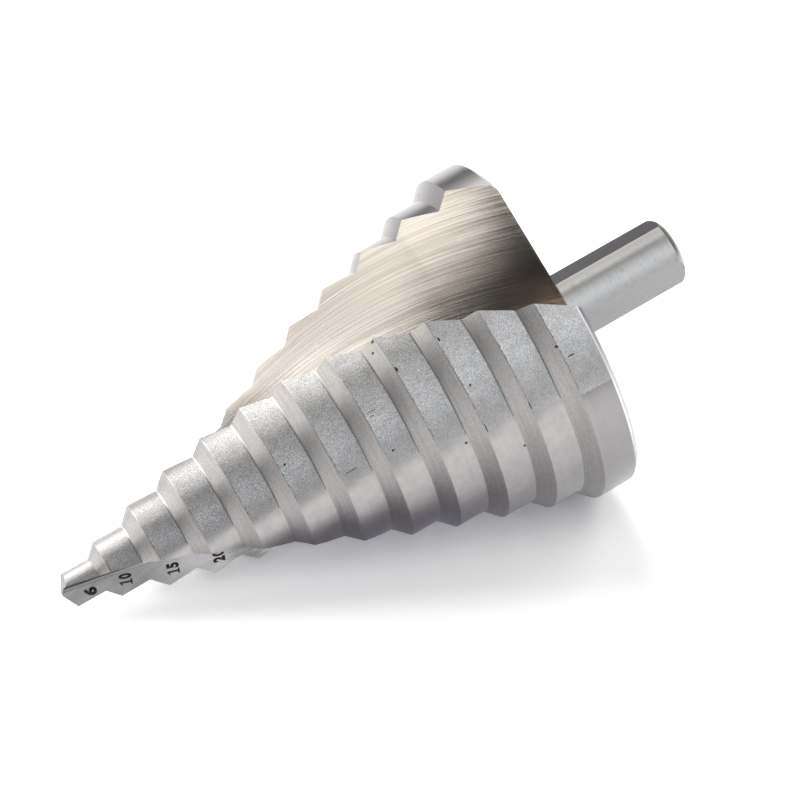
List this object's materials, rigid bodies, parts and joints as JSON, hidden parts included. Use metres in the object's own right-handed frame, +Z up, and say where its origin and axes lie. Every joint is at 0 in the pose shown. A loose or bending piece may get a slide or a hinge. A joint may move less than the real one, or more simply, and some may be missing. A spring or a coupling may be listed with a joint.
{
  "type": "step drill",
  "caption": "Cone-shaped step drill with stepped diameters, helical flutes and a round shank with flats, for opening holes in sheet metal to many sizes.",
  "frame": {"origin": "on the floor, below the middle of the tool's box as it lies at rest", "axes": "+Z up; the drill's axis lies in the XZ plane, with the point towards -X, low, and the shank towards +X, rising at about 15 degrees"},
  "size_m": [0.1138, 0.06, 0.0574],
  "materials": {
    "high_speed_steel": "ground high-speed steel: satin steps with a matte speckled patch behind each cutting edge, bright ground flutes and a turned shank"
  },
  "bodies": {
    "root": {"step_drill": "high_speed_steel"}
  },
  "joints": []
}
